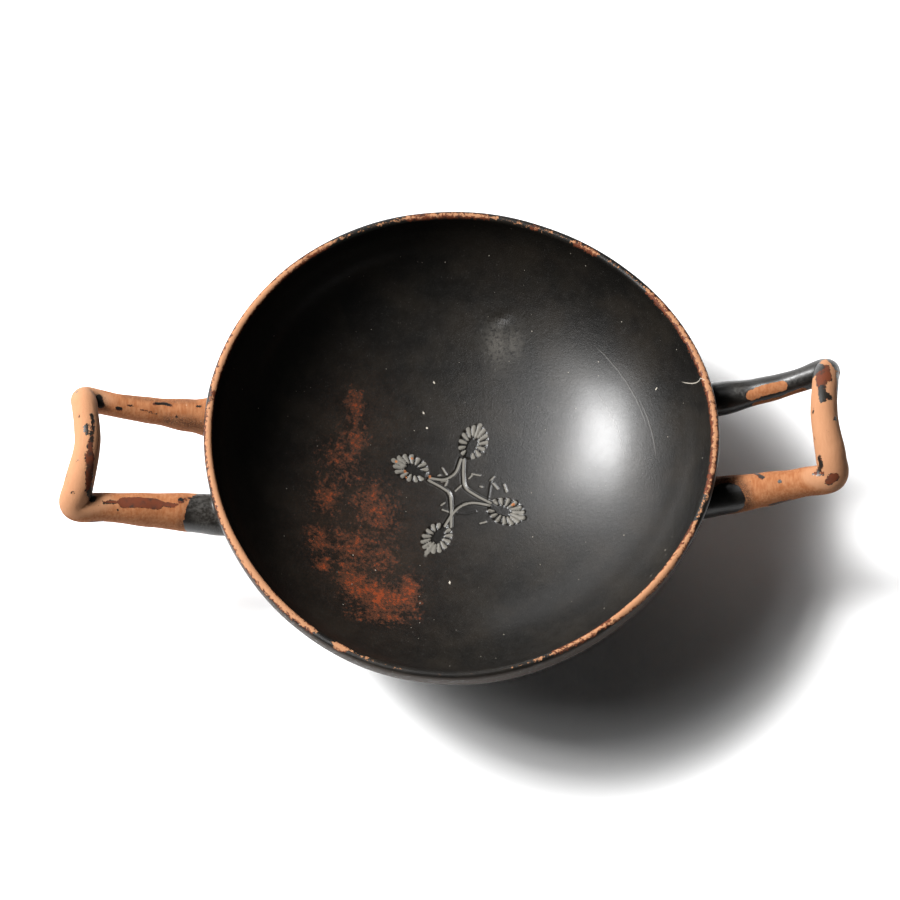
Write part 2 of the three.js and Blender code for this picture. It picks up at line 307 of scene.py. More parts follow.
# %% The grooves, drawn from the foot of one palmette past the middle to the next
def smooth_line(stations, count):
    """Places on a smooth line through stations, with the spacing rule of the solid's own bars."""
    points = np.vstack([2 * stations[0] - stations[1], stations, 2 * stations[-1] - stations[-2]])
    line = []
    for t in np.linspace(0, len(stations) - 1, count):
        i = min(int(t), len(stations) - 2)
        w = t - i
        x0, x1, x2, x3 = points[i:i + 4]
        gaps = [max(np.linalg.norm(b - a), 1e-9) ** 0.5 for a, b in ((x0, x1), (x1, x2), (x2, x3))]
        t1 = ((x1 - x0) / gaps[0] - (x2 - x0) / (gaps[0] + gaps[1]) + (x2 - x1) / gaps[1]) * gaps[1]
        t2 = ((x2 - x1) / gaps[1] - (x3 - x1) / (gaps[1] + gaps[2]) + (x3 - x2) / gaps[2]) * gaps[1]
        line.append(x1 + t1 * w + (3 * (x2 - x1) - 2 * t1 - t2) * w**2 + (2 * (x1 - x2) + t1 + t2) * w**3)
    return np.array(line)


def groove_line(palmette, following):
    """The line of one groove."""
    ends = []
    for (degrees, radius, gap), side in ((palmette["foot"], 1), (following["foot"], -1)):
        ends.append(polar(radius, degrees) + polar(side * gap / 2, degrees + 90))
    turn_on = (following["angle"] - palmette["angle"]) % 360
    middle = polar(palmette["pass"], palmette["angle"] + turn_on / 2)
    bends = [(end + middle) / 2 * 0.84 for end in ends]
    return smooth_line(np.array([ends[0], bends[0], middle, bends[1], ends[1]]), 160) + STAMP_CENTRE


def nearness(places, line):
    """Distance of every place from the nearest place on a line."""
    return np.min(np.linalg.norm(places[:, None, :] - line[None, :, :], axis=2), axis=1)


grooves = [groove_line(p, PALMETTES[(i + 1) % 4]) for i, p in enumerate(PALMETTES)]
# Each stroke or score is the places on the floor that it joins, in mm from the axis.
STROKES = [
    [(-5.3, 7.1), (-4.0, 4.9)], [(-6.6, 4.5), (-6.0, 4.7)], [(3.3, 3.6), (4.3, 4.6)],
    [(4.3, 5.2), (6.9, 4.6)], [(10.3, 2.8), (11.4, 4.0)], [(7.0, 0.8), (7.6, 0.5)],
    [(-1.0, -0.8), (0.8, 1.1)], [(-5.6, -6.0), (-4.6, -5.2)], [(-5.2, -7.6), (-2.9, -8.5)],
    [(7.0, -12.5), (8.9, -12.0)], [(11.2, 1.7), (12.6, -0.3)], [(14.7, 1.2), (15.5, -1.4)],
    [(-5.6, 2.4), (-3.6, 2.8)], [(-3.6, 2.8), (-4.3, 1.0)],
]
SCORES = [[(10.6, 2.8), (10.1, -0.5), (9.6, -4.1)], [(-0.6, -8.8), (2.7, -9.0), (5.7, -8.1)]]
strokes = [np.linspace(np.array(a), np.array(b), 8) for a, b in STROKES]
scores = [smooth_line(np.array(score), 24) for score in SCORES]
print(len(grooves), "grooves and", len(strokes), "short strokes")

# %% Press the floor
def floor_relief(places):
    """Rise, petal and silver of each place on the floor, and its dark: scores, and painted shade on the
    grooves' edges.
    """
    rise = np.zeros(len(places))
    petal = np.zeros(len(places))
    for palmette in PALMETTES:
        hollow, height = on_palmette(places, palmette)
        raised = -STAMP_DEPTH * hollow + PETAL_HEIGHT * height
        rise = np.where(height > 0, np.maximum(raised, rise - 1), rise)
        rise = np.where(height > 0, rise, np.minimum(rise, -STAMP_DEPTH * hollow))
        petal = np.maximum(petal, height)
    near = np.min([nearness(places, line) for line in grooves], axis=0)
    groove = ease(near, GROOVE_WIDTH * 0.68, GROOVE_WIDTH * 0.3)
    lips = np.exp(-(((near - GROOVE_WIDTH * 0.85) / 0.25) ** 2))
    rise = rise - GROOVE_DEPTH * 0.7 * groove + 0.05 * lips * (rise > -0.05)
    stroke = ease(np.min([nearness(places, line) for line in strokes], axis=0), 0.5, 0.1)
    score = ease(np.min([nearness(places, line) for line in scores], axis=0), 0.4, 0.05)
    silver = np.maximum(ease(near, GROOVE_WIDTH * 0.5, GROOVE_WIDTH * 0.3), stroke)
    # Painted shade: a dark line along both edges of every groove, where its walls are in shade, joined with
    # the dark scores.
    dark = np.maximum(np.exp(-(((near - GROOVE_WIDTH * 0.58) / 0.17) ** 2)), score)
    return rise - 0.16 * stroke - 0.2 * score, petal, silver, dark


def places_of(mesh):
    """Every vertex of a bmesh, as rows of x, y and z."""
    return np.array([vertex.co for vertex in mesh.verts])


def put(mesh, places):
    """Moves every vertex of a bmesh to its new place."""
    for vertex, place in zip(mesh.verts, places):
        vertex.co = place


bowl_places = places_of(bowl_mesh)
floor_part = (np.hypot(bowl_places[:, 0], bowl_places[:, 1]) < 27) & (bowl_places[:, 2] > 12)
rise = floor_relief(bowl_places[floor_part, :2])[0]
bowl_places[floor_part, 2] += rise
print("pressed", floor_part.sum(), "vertices, from", rise.min().round(2), "to", rise.max().round(2), "mm")

# %% [markdown]
# ## The thrown rim
# No bowl thrown by hand is truly round. The solid's rim wanders by under a millimetre in slow waves
# that fade towards the foot, and the mesh takes the same waves. Slow noise a tenth of a millimetre
# deep then takes the machined look off the walls.

# %% Let the rim wander
RIM_WANDER = [(3, 0.75, 0.63), (4, 0.28, -0.07)]
WALL_SWAY = 0.14
WALL_INSET = 0.12


def stretch_at(places):
    """How far the waves move each place out from the axis, as a share."""
    angle = np.arctan2(places[:, 1], places[:, 0])
    wander = sum(c * np.cos(n * angle) + s * np.sin(n * angle) for n, c, s in RIM_WANDER)
    return 1 + np.minimum(places[:, 2] / CUP_HEIGHT, 1) ** 2 * wander / RIM_RADIUS


def unevenness(places, grain, seed):
    """Slow noise from -1 to 1 at every place."""
    shift = Vector((seed, 2 * seed, -seed))
    return np.array([noise.noise(Vector(place) / grain + shift) for place in places])


bowl_places[:, :2] *= stretch_at(bowl_places)[:, None]
wall = ease(bowl_places[:, 2], 14, 24)
sway = WALL_SWAY * unevenness(bowl_places, 19, 5) * wall
radial = bowl_places[:, :2] / np.maximum(np.hypot(bowl_places[:, 0], bowl_places[:, 1]), 1)[:, None]
bowl_places[:, :2] += radial * (sway - WALL_INSET * wall)[:, None]
put(bowl_mesh, bowl_places)
rim_radii = np.hypot(*bowl_places[bowl_places[:, 2] > 54, :2].T)
print("rim radius from", rim_radii.min().round(2), "to", rim_radii.max().round(2))

# %% [markdown]
# ## The handles
# Each handle was one roll of clay: thick where it is pressed on the wall, thin along the arms,
# pinched up at two corners, with a round bar between them. A circle is extruded ring by ring along
# the solid's own line, and each ring takes its size and its tilt from there. A curve object with a
# bevel would do this too, but its caps and its thickness are harder to hold at the roots.

# %% Stations along a handle
ROOT_DROP = 17.5
FAR_ARM = {"root_span": 15.8, "corner_span": 17.9, "root": 17.2, "end": 7.7, "corner": 8.5, "taper": 2.8}
NEAR_ARM = {
    "root_span": 17.4, "corner_span": CORNER_SPAN, "root": 14.4, "end": 7.8, "corner": 9.7, "taper": 0.9,
}
LEFT = {"turn": 180, "far": 36.9, "near": LEFT_REACH, "bar": 34.8, "corner": -3.3, "curve": 1.12}
RIGHT = {"turn": 0, "far": 36.5, "near": RIGHT_REACH, "bar": 33.2, "corner": -2.3, "curve": 1.75}
BAR_THICKNESS = 8.7


def arm_stations(handle, arm, side, reach):
    """Stations from the wall out along one arm and up round its corner."""
    root_height = CUP_HEIGHT - ROOT_DROP
    root_radius = math.sqrt(radius_at(INSIDE, root_height) ** 2 - arm["root_span"] ** 2)
    corner_height = CUP_HEIGHT + handle["corner"]
    stations = []
    for share in (-0.08, 0.12, 0.32, 0.55, 0.8):
        way = max(share, 0)
        rise = math.copysign(abs(share) ** handle["curve"], share)
        stations.append((
            root_radius + (RIM_RADIUS + reach - root_radius) * share,
            side * (arm["root_span"] + (arm["corner_span"] - arm["root_span"]) * way**2),
            root_height + (corner_height - root_height) * rise,
            arm["root"] + (arm["end"] - arm["root"]) * (1 - (1 - way) ** arm["taper"]),
        ))
    leant = reach + (handle["bar"] - reach) * 0.4
    stations.append((RIM_RADIUS + reach - 0.4, side * arm["corner_span"], corner_height, arm["corner"]))
    stations.append((RIM_RADIUS + leant, side * (arm["corner_span"] - 4.3), CUP_HEIGHT + 1, arm["corner"]))
    return stations


def handle_stations(handle):
    """All stations of one handle, from the root on its far side round to the near one."""
    far_side = 1 if handle["turn"] == 0 else -1
    far = arm_stations(handle, FAR_ARM, far_side, handle["far"])
    near = arm_stations(handle, NEAR_ARM, -far_side, handle["near"])
    middle = (RIM_RADIUS + handle["bar"], 0, CUP_HEIGHT + 2.9, BAR_THICKNESS)
    stations = np.array(far + [middle] + near[::-1])
    turn = math.radians(handle["turn"] + HANDLE_TURN)
    x, y = stations[:, 0].copy(), stations[:, 1].copy()
    stations[:, 0] = x * math.cos(turn) - y * math.sin(turn)
    stations[:, 1] = x * math.sin(turn) + y * math.cos(turn)
    return stations


print(len(handle_stations(LEFT)), "stations on each handle")

# %% Rings along a handle
RING_COUNT = 240
RING_SIDES = 38
HANDLE_INSET = 0.14
HANDLE_SWAY = 0.13
CORNER_PULL = 0.24
TOP_PULL = 0.07


def handle_rings(handle):
    """Middle, thickness and frame of every ring of one handle."""
    stations = handle_stations(handle)
    middles = smooth_line(stations[:, :3], RING_COUNT)
    steps = np.linspace(0, len(stations) - 1, RING_COUNT)
    before = np.minimum(steps.astype(int), len(stations) - 2)
    blend = ease(steps - before, 0, 1)
    thickness = stations[before, 3] * (1 - blend) + stations[before + 1, 3] * blend
    tangents = np.gradient(middles, axis=0)
    rings = []
    normal = Vector((0, 0, 1))
    for middle, tangent, size in zip(middles, tangents, thickness):
        tangent = Vector(tangent).normalized()
        normal = (normal - tangent * normal.dot(tangent)).normalized()
        side = tangent.cross(normal)
        radius = size / 2 - HANDLE_INSET
        frame_matrix = Matrix((side * radius, normal * radius, tangent)).transposed().to_4x4()
        rings.append(Matrix.Translation(middle) @ frame_matrix)
    return rings


def roll_of_clay(mesh, rings):
    """Extrudes one closed roll through its rings."""
    first = bmesh.ops.create_circle(mesh, cap_ends=True, radius=1, segments=RING_SIDES, matrix=rings[0])
    edges = list(dict.fromkeys(edge for vertex in first["verts"] for edge in vertex.link_edges))
    for earlier, later in zip(rings, rings[1:]):
        grown = bmesh.ops.extrude_edge_only(mesh, edges=edges)["geom"]
        corners = [part for part in grown if isinstance(part, bmesh.types.BMVert)]
        edges = [part for part in grown if isinstance(part, bmesh.types.BMEdge)]
        bmesh.ops.transform(mesh, matrix=later @ earlier.inverted(), verts=corners)
    bmesh.ops.contextual_create(mesh, geom=edges)


handle_mesh = bmesh.new()
all_rings = [handle_rings(handle) for handle in (LEFT, RIGHT)]
for rings in all_rings:
    roll_of_clay(handle_mesh, rings)
bmesh.ops.recalc_face_normals(handle_mesh, faces=handle_mesh.faces)
handle_places = places_of(handle_mesh)
handle_mesh.normal_update()
handle_normals = np.array([vertex.normal for vertex in handle_mesh.verts])
handle_places += handle_normals * (HANDLE_SWAY * unevenness(handle_places, 5.5, 9))[:, None]
# The noise carries the left corner and the top just past the solid's box, so they are pulled back.
handle_places[:, 0] += CORNER_PULL * ease(-handle_places[:, 0], 110, 120)
handle_places[:, 2] -= TOP_PULL * ease(handle_places[:, 2], 57, 61)
put(handle_mesh, handle_places)
print("handles:", len(handle_mesh.faces), "faces")

# %% [markdown]
# ## One piece of clay
# The handles were pressed on wet and fired with the bowl, so cup and handles are one skin. First a
# bowl-shaped core, a little larger than the bowl's inside, is cut from the handles, so that no root
# shows on the inner wall. Then bowl and handles are united, and the vertices round the seam are
# smoothed, as a wet finger would do.

# %% Cut and join with Booleans
CORE_TOP = 98
core = (INSIDE[0] + 1, INSIDE[1] + 1)
core_outline = np.concatenate([bowl_arc(core, 0, core[0], 30), [[core[0], CORE_TOP], [0, CORE_TOP]]])
core_mesh = turned(core_outline, 120)


def as_object(name, mesh):
    """Puts a bmesh in an object of the scene, with two empty material slots to tell parts apart."""
    data = bpy.data.meshes.new(name)
    mesh.to_mesh(data)
    mesh.free()
    for _ in range(2):
        data.materials.append(None)
    return placed(name, data)


def combined(base, tool, operation):
    """The mesh of base after an exact Boolean with tool. Both objects are used up."""
    modifier = base.modifiers.new("combine", "BOOLEAN")
    modifier.operation = operation
    modifier.solver = "EXACT"
    modifier.object = tool
    result = bpy.data.meshes.new_from_object(base.evaluated_get(bpy.context.evaluated_depsgraph_get()))
    bpy.data.objects.remove(base)
    bpy.data.objects.remove(tool)
    return result


for face in (*handle_mesh.faces, *core_mesh.faces):
    face.material_index = 1
trimmed = combined(as_object("handles", handle_mesh), as_object("core", core_mesh), "DIFFERENCE")
roots = placed("roots", trimmed)
joined = combined(as_object("bowl", bowl_mesh), roots, "UNION")
print("joined:", len(joined.vertices), "vertices,", len(joined.polygons), "faces")

# %% Smooth the seam
SEAM_REACH = 3.2
cup_mesh = bmesh.new()
cup_mesh.from_mesh(joined)
bmesh.ops.remove_doubles(cup_mesh, verts=cup_mesh.verts, dist=0.04)
seam = [v for v in cup_mesh.verts if len({face.material_index for face in v.link_faces}) > 1]
tree = KDTree(len(seam))
for i, vertex in enumerate(seam):
    tree.insert(vertex.co, i)
tree.balance()
for reach, rounds in ((SEAM_REACH, 6), (SEAM_REACH * 0.6, 8)):
    close = [v for v in cup_mesh.verts if tree.find(v.co)[2] < reach]
    outer = [v for v in close if math.hypot(v.co.x, v.co.y) > radius_at(INSIDE, v.co.z) + 1.5]
    for _ in range(rounds):
        bmesh.ops.smooth_vert(
            cup_mesh, verts=outer, factor=0.5, use_axis_x=True, use_axis_y=True, use_axis_z=True,
        )
for face in cup_mesh.faces:
    face.material_index = 0
    face.smooth = True
bmesh.ops.dissolve_degenerate(cup_mesh, edges=cup_mesh.edges, dist=0.005)
print("seam:", len(seam), "vertices")

# %% Take off fins
# A Boolean can leave a face that hangs on an open edge. It is taken off, and its gap is filled.
open_edges = [edge for edge in cup_mesh.edges if edge.is_boundary]
fins = list(dict.fromkeys(face for edge in open_edges for face in edge.link_faces))
bmesh.ops.delete(cup_mesh, geom=fins, context="FACES")
bmesh.ops.holes_fill(cup_mesh, edges=[edge for edge in cup_mesh.edges if edge.is_boundary])
loose = [edge for edge in cup_mesh.edges if not edge.link_faces]
bmesh.ops.delete(cup_mesh, geom=loose, context="EDGES")
bmesh.ops.recalc_face_normals(cup_mesh, faces=cup_mesh.faces)
print("fins:", len(fins), "open edges:", sum(e.is_boundary for e in cup_mesh.edges))
print("edges of more than two faces:", sum(len(e.link_faces) > 2 for e in cup_mesh.edges))

# %% [markdown]
# ## Where the cup is worn
# The gloss is a thin skin. It is rubbed through on the lip and on the handles, where bare orange
# clay shows, and it turned red in patches where the kiln's smoke didn't reach. A band under the
# near lip is rubbed brown, a thumb left a dull grey mark, and small flecks and bare spots lie about
# inside. Shade is painted as well: dark in the handles' inner corners and on one root under the rim,
# and in the stamps' hollows and along the grooves' edges. Each kind of wear and of painted shade is
# a number between 0 and 1 at every vertex, worked out from plain lists of places in millimetres.
# The numbers change slowly, and the material breaks their edges up with noise, so the mesh needn't
# be as fine as the flakes.

# %% Measures of every vertex
places = places_of(cup_mesh)
radius = np.hypot(places[:, 0], places[:, 1])
azimuth = np.degrees(np.arctan2(places[:, 1], places[:, 0])) % 360
true_radius = radius / stretch_at(places)
height = places[:, 2]


def along_lip(true_radius, height):
    """Distance over the lip from its top, in millimetres: inwards above zero, outwards below it."""
    turn = np.arctan2(height - LIP_HEIGHT, true_radius - (RIM_RADIUS - LIP_RADIUS))
    over = (turn - math.pi / 2) * LIP_RADIUS
    quarter = math.pi / 2 * LIP_RADIUS
    inner = true_radius < RIM_RADIUS - LIP_RADIUS
    down = LIP_HEIGHT - height
    return np.where(height >= LIP_HEIGHT, over, np.where(inner, quarter + down, -quarter - down))


lip_way = along_lip(true_radius, height)
wall_out = true_radius - radius_at(OUTSIDE, np.minimum(height, LIP_HEIGHT))
on_handle = ease(wall_out, 0.4, 1.6) * (height > 20)
on_floor = (radius < 27) & (height > 12)
inside_radius = radius_at(INSIDE, np.minimum(height, LIP_HEIGHT))
inner_wall = (true_radius < inside_radius + 0.8) & (height > 12) | on_floor
print("on the handles:", int((on_handle > 0.5).sum()), "vertices, inside the bowl:", int(inner_wall.sum()))

# %% Wear of the lip
# Each row is: azimuth in degrees, middle of the worn band over the lip, half its width, both in mm.
LIP_WEAR = [
    (0, 0.3, 0.6), (8, 0.2, 0.75), (14, 0.1, 0.8), (22, 0.0, 0.7), (30, 0.1, 0.55), (38, 0.2, 0.35),
    (44, 0.3, 0.0), (52, 0.4, -0.3), (56, 0.5, 0.35), (62, 0.6, 0.2), (66, 0.6, -0.3), (72, 0.6, 0.3),
    (78, 0.6, -0.2), (84, 0.4, 0.35), (92, 0.4, 0.3), (102, 0.4, 0.35), (108, 0.4, -0.2), (120, 0.4, 0.1),
    (130, 0.2, 0.55), (140, 0.2, 1.1), (150, 0.4, 1.2), (160, 0.5, 1.2), (168, 0.5, 0.9), (171, 0.4, 0.1),
    (174, 0.4, 1.0), (185, 0.5, 1.2), (195, 0.5, 1.25), (205, 0.3, 1.45), (215, 0.25, 1.4), (222, 0.3, 1.2),
    (228, 0.4, 1.1), (234, 0.4, 0.9), (237, 0.4, 0.5), (238.5, 0.4, -0.8), (241, 0.3, -0.7),
    (242.5, 0.3, 1.1), (244.5, 0.3, 1.0), (246, 0.4, 0.1), (251, 0.4, 0.2), (252.5, 0.3, -0.8),
    (255.8, 0.2, -0.8), (256.6, 0.1, 0.4), (257.4, 0.1, -0.8), (265, 0.1, -0.9), (265.7, 0.1, 0.2),
    (266.4, 0.1, -0.9), (278, 0.1, -0.8), (287, 0.2, -0.1), (292, 0.4, 0.3), (299, 0.5, 0.6),
    (306, 0.4, 0.5), (310, 0.2, 1.3), (318, 0.1, 1.5), (326, 0.1, 1.2), (334, 0.2, 0.6), (340, 0.3, 0.0),
    (347, 0.3, 0.3), (354, 0.3, 0.5), (360, 0.3, 0.6),
]
wear_table = np.array(LIP_WEAR)
band_middle = np.interp(azimuth, wear_table[:, 0], wear_table[:, 1])
band_half = np.interp(azimuth, wear_table[:, 0], wear_table[:, 2])
lip_clay = np.clip(0.5 + (band_half - np.abs(lip_way - band_middle)) / 2.6, 0, 1)
lip_scar = np.clip(0.5 + (band_half + 0.75 - np.abs(lip_way - band_middle - 0.25)) / 2.6, 0, 1)
lip_scar = lip_scar * (band_half > 0.2)
outer_band = ease(lip_way, -0.9, -1.6) * ease(lip_way, -14, -7)
outer_band = outer_band * ease(azimuth, 190, 225) * ease(azimuth, 345, 320)
print("worn lip:", int((lip_clay > 0.5).sum()), "vertices")

# %% Chips and scars of the handles
# Each row is half the width of a mark in millimetres, then the places that its middle line joins.
CHIPS = [
    (0.5, (-113.4, 2.5, 62.0), (-112.7, -1.2, 62.1), (-113.0, -4.2, 62.6), (-112.8, -6.8, 62.5)),
    (0.45, (-114.7, -1.5, 62.8), (-114.5, -4.3, 63.0)), (0.25, (-117.3, 2.1, 62.3)),
    (0.35, (-119.3, 12.3, 58.3)),
    (0.2, (-117.4, -13.5, 62.7), (-116.5, -13.1, 62.8)), (0.3, (-117.8, -22.7, 60.2)),
    (0.4, (-120.4, -17.1, 60.2)), (1.1, (-112.9, -21.5, 58.2), (-112.4, -22.5, 55.2)),
    (0.9, (-112.5, 12.0, 54.8), (-111.9, 9.8, 53.7)), (0.5, (-107.0, 9.5, 52.4), (-106.0, 9.4, 52.1)),
    (0.2, (-103.8, 10.8, 51.9), (-102.3, 10.9, 51.6)),
    (0.35, (-95.8, 12.2, 50.1), (-93.0, 13.0, 49.1), (-90.5, 12.4, 48.8)), (0.3, (-88.8, 9.1, 47.7)),
    (0.3, (-82.6, 12.6, 47.3), (-81.4, 13.3, 46.9)), (0.3, (-104.8, -25.4, 52.6)),
    (1.0, (112.3, 13.8, 62.3), (112.2, 11.4, 62.6), (112.4, 9.4, 62.8)),
    (0.7, (112.6, 11.4, 62.6), (114.8, 10.0, 62.7)),
    (0.4, (109.4, 5.9, 61.0)), (0.25, (109.7, -3.1, 59.7)), (0.5, (115.7, 3.0, 62.1)),
    (0.7, (110.7, -9.1, 59.3), (111.3, -11.3, 58.6), (110.8, -12.0, 55.8)),
    (0.5, (92.6, -8.8, 46.3), (94.3, -11.4, 49.0)), (0.5, (99.3, -13.3, 50.8)), (0.2, (90.7, -11.8, 47.9)),
    (0.7, (117.5, 14, 58), (118.5, 4, 58), (119.5, -8, 56)), (0.8, (-86, -20, 48.5), (-84.5, -26, 46)),
    (0.5, (-100, 13.6, 47), (-92, 14, 44.5)), (0.7, (-119, -6, 55.5), (-120, -14, 55)),
    (0.6, (-100, -29, 47), (-93, -30, 45)), (0.7, (103, -18, 46), (97, -18.5, 44)),
]
SCARS = [
    (0.9, (-113.1, -6.9, 62.7), (-113.1, -10.9, 62.4)), (1.5, (-113.1, -10.9, 62.4), (-113.1, -19.0, 60.4)),
    (1.2, (-113.1, -19.0, 60.4), (-113.4, -21.2, 59.4)), (0.3, (-99.9, 9.9, 50.6), (-94.6, 9.5, 49.0)),
    (0.5, (-108.8, -23.4, 54.3), (-104.1, -22.8, 53.1)),
    (1.8, (-103, -22.8, 53), (-98.1, -22.2, 51.8), (-93.0, -22.3, 50.6)),
    (1.5, (113.9, 21.5, 60.1), (114.3, 17.1, 61.7)), (1.5, (113.6, -15.9, 56.9), (115.2, -14.9, 58)),
    (0.8, (-93.0, -21.9, 50.7), (-87.9, -22.2, 49.3)),
    (0.5, (-87.9, -22.2, 49.3), (-85.6, -20.7, 49.1), (-82.9, -18.5, 47.4)),
    (1.6, (112.2, 21.2, 59.6), (112.2, 14.9, 62.1)), (0.6, (109.6, -12.5, 55.3), (111.8, -13.3, 57.2)),
    (1.2, (108, -21, 48), (98, -22.5, 45)), (1.0, (-113, -28, 50), (-104, -29.5, 48)),
]
# Gloss left black on the handles. The last mark paints the rim's shadow on the right handle's near root as
# black.
BLACK_GLOSS_AND_SHADE = [
    (9, (78, 21, 43), (92, 20, 46)), (6.5, (92, 20, 47), (103, 21.5, 51), (111, 25, 56)),
    (3, (113, 26, 58.5), (117.5, 24, 58)), (2.2, (118.5, 19, 58), (118.5, 10, 59)),
    (9, (-74, -24, 43), (-76.5, -24, 44)), (5.5, (78, -19, 41.5), (83.5, -17.2, 45)),
]
BARE_PATCHES = [
    (1.7, (92.2, 18.2, 46.8), (95.5, 19.3, 48.1), (101.6, 19.9, 50.3)),
    (1.5, (94, 16, 43.5), (102.3, 17.5, 46), (108, 18.5, 49.5)),
    (1.3, (113.9, 24.9, 57.9), (115.5, 21.3, 60.3), (115.2, 15.4, 61.6), (116.5, 11.1, 61.0)),
]
GREYED = [
    (1.5, (87.2, 20.0, 46.6), (89.3, 19.1, 46.5)), (1.7, (103.6, 21.3, 51.7), (108.4, 22.9, 54.2)),
    (4, (-80.9, -20, 47.0), (-78.6, -24, 46.8), (-75.8, -27, 43.3)),
]
# Soot and painted shade on the handles' clay. The two marks at the left handle's inner corners paint the
# shade in the creases and the bar's shadow on the arms, and the wide mark at the right handle's near root
# paints the rim's shadow on it.
SOOT_AND_SHADE_MARKS = [
    (0.8, (-104.6, 14.3, 51.7), (-98.0, 13.9, 50.1), (-89.8, 14.2, 48.2), (-83.6, 15.2, 46.7)),
    (1.8, (-91.7, 8.1, 46.8), (-86.3, 8.0, 46.2), (-81.4, 7.4, 44.5)),
    (1.6, (-112.9, -21.5, 58.2), (-112, -22.8, 54)),
    (1.6, (-113, 13, 56), (-111.5, 10, 53)), (1.2, (-85, -20, 47.9), (-85.2, -27, 45.6)),
    (2.2, (118, -18, 54), (116, -20, 50)), (8, (79, -19, 42), (83.5, -17, 45)),
]


def away_from(line):
    """Distance in millimetres of every vertex from a line through a few places."""
    line = np.array(line, float)
    if len(line) == 1:
        return np.linalg.norm(places - line[0], axis=1)
    nearest = np.full(len(places), np.inf)
    for start, end in zip(line, line[1:]):
        way = end - start
        share = np.clip((places - start) @ way / (way @ way), 0, 1)
        nearest = np.minimum(nearest, np.linalg.norm(places - start - share[:, None] * way, axis=1))
    return nearest


def marked(rows, grow=0.0, soft=1.2):
    """1 inside any of the marks and 0 outside, with a half on their edges and a slow change between."""
    depths = [half + grow - away_from(line) for half, *line in rows]
    return np.clip(0.5 + np.max(depths, axis=0) / soft, 0, 1)


# Black gloss on the handles, and painted shade at the right handle's near root.
black_gloss_and_shade = np.minimum(marked(BLACK_GLOSS_AND_SHADE, soft=1.6), 1 - marked(BARE_PATCHES))
chips_and_shade = np.maximum(black_gloss_and_shade, marked(CHIPS))
chip_edges = marked(CHIPS, 0.2)
scars = marked(SCARS)
handle_clay = on_handle * np.minimum(0.93, 1 - np.maximum.reduce([scars, chip_edges, black_gloss_and_shade]))
handle_scar = on_handle * np.minimum(np.maximum(scars, chip_edges), 1 - chips_and_shade)
greyed = marked(GREYED, soft=3)
soot_and_shade = on_handle * marked(SOOT_AND_SHADE_MARKS, soft=2.6)
print("bare clay on the handles:", int((handle_clay > 0.5).sum()), "vertices")

# %% Bare clay under the foot, with a painted ring and a painted middle
underneath = ease(true_radius, 37.2, 36.8) * ease(height, 8.6, 8.2) * (height < 9)
painted_ring = ease(np.abs(true_radius - 15), 2.6, 2.2) + ease(true_radius, 3.6, 3.2)
reserved = underneath * (1 - np.clip(painted_ring, 0, 1))
print("reserved underneath:", int((reserved > 0.5).sum()), "vertices")

# %% Misfired patches and a thumb mark
def cloud(centre, reach, tilt=0):
    """1 in the middle of an oval cloud on the inner wall, seen from above, and falling to 0 outside."""
    turn = math.radians(tilt)
    x, y = places[:, 0] - centre[0], places[:, 1] - centre[1]
    along = (x * math.cos(turn) + y * math.sin(turn)) / reach[0]
    aside = (y * math.cos(turn) - x * math.sin(turn)) / reach[1]
    return np.exp(-(along**2 + aside**2)) * inner_wall


# Each row is strength, middle, reach along and aside, and tilt in degrees.
MISFIRED = [
    (0.95, (-25.6, -41), (6, 3), -30), (0.75, (-25, -41), (12, 6), -15), (0.72, (-15.5, -40), (4, 8), 0),
    (0.65, (-33, -36), (6, 8), 0), (0.7, (-42.5, -31.5), (3.5, 3), -30), (0.55, (-24, -49), (11, 4), 0),
    (0.5, (-44, -22), (5, 6), 10), (0.6, (-34, 27), (3.5, 6), 0), (0.5, (-33.7, 16), (5, 7), 0),
    (0.5, (-24, -27), (5, 8), 0), (0.5, (-27, -8), (8, 12), 20), (0.5, (-33, -24), (9, 9), 0),
    (0.5, (-42, -6), (5, 9), 0), (0.42, (-38, 8), (8, 9), 0),
]
misfired = np.max([strength * cloud(*rest) for strength, *rest in MISFIRED], axis=0)
BROWNED = [(1.0, (-30, -20), (24, 34), 0), (0.8, (-32, 20), (14, 18), 0)]
browned = np.max([strength * cloud(*rest) for strength, *rest in BROWNED], axis=0)
thumb_mark = np.maximum(cloud((12.5, 47.5), (4.2, 6.5), 8), 0.8 * cloud((17.5, 47.5), (3.5, 5), 0))
thumb_dent = cloud((13.2, 55.2), (3.4, 1.5), 12)
print("misfired:", int((misfired > 0.4).sum()), "vertices")

# %% Measures of the stamped floor
rise, petal, groove, edge_shade_and_scores = floor_relief(places[:, :2])
petal = np.where(on_floor, petal, 0)
groove = np.where(on_floor, groove, 0)
edge_shade_and_scores = np.where(on_floor, edge_shade_and_scores, 0)
hollows = np.where(on_floor, np.clip(-rise / STAMP_DEPTH, 0, 1), 0)
print("on petals:", int((petal > 0.5).sum()), "vertices, in grooves:", int((groove > 0.5).sum()))

# %% Turning marks inside the bowl
# Each turning mark is its radius in mm, and the azimuths in degrees between which it shows.
TURNING_MARKS = [(62.1, 16, 43), (63.0, 5, 21), (53.5, 8, 32)]
turning = [ease(azimuth, low - 3, low + 3) * ease(azimuth, high + 3, high - 3) * inner_wall
           for _, low, high in TURNING_MARKS]
print(len(TURNING_MARKS), "turning marks")

# %% Pale flecks, and spots of bare clay on the stamps
def dotted(rows):
    """1 on small round marks inside the bowl and 0 off them, with a half on their edges."""
    depths = [size - np.hypot(places[:, 0] - x, places[:, 1] - y) for x, y, size in rows]
    return np.clip(0.5 + np.max(depths, axis=0), 0, 1) * inner_wall


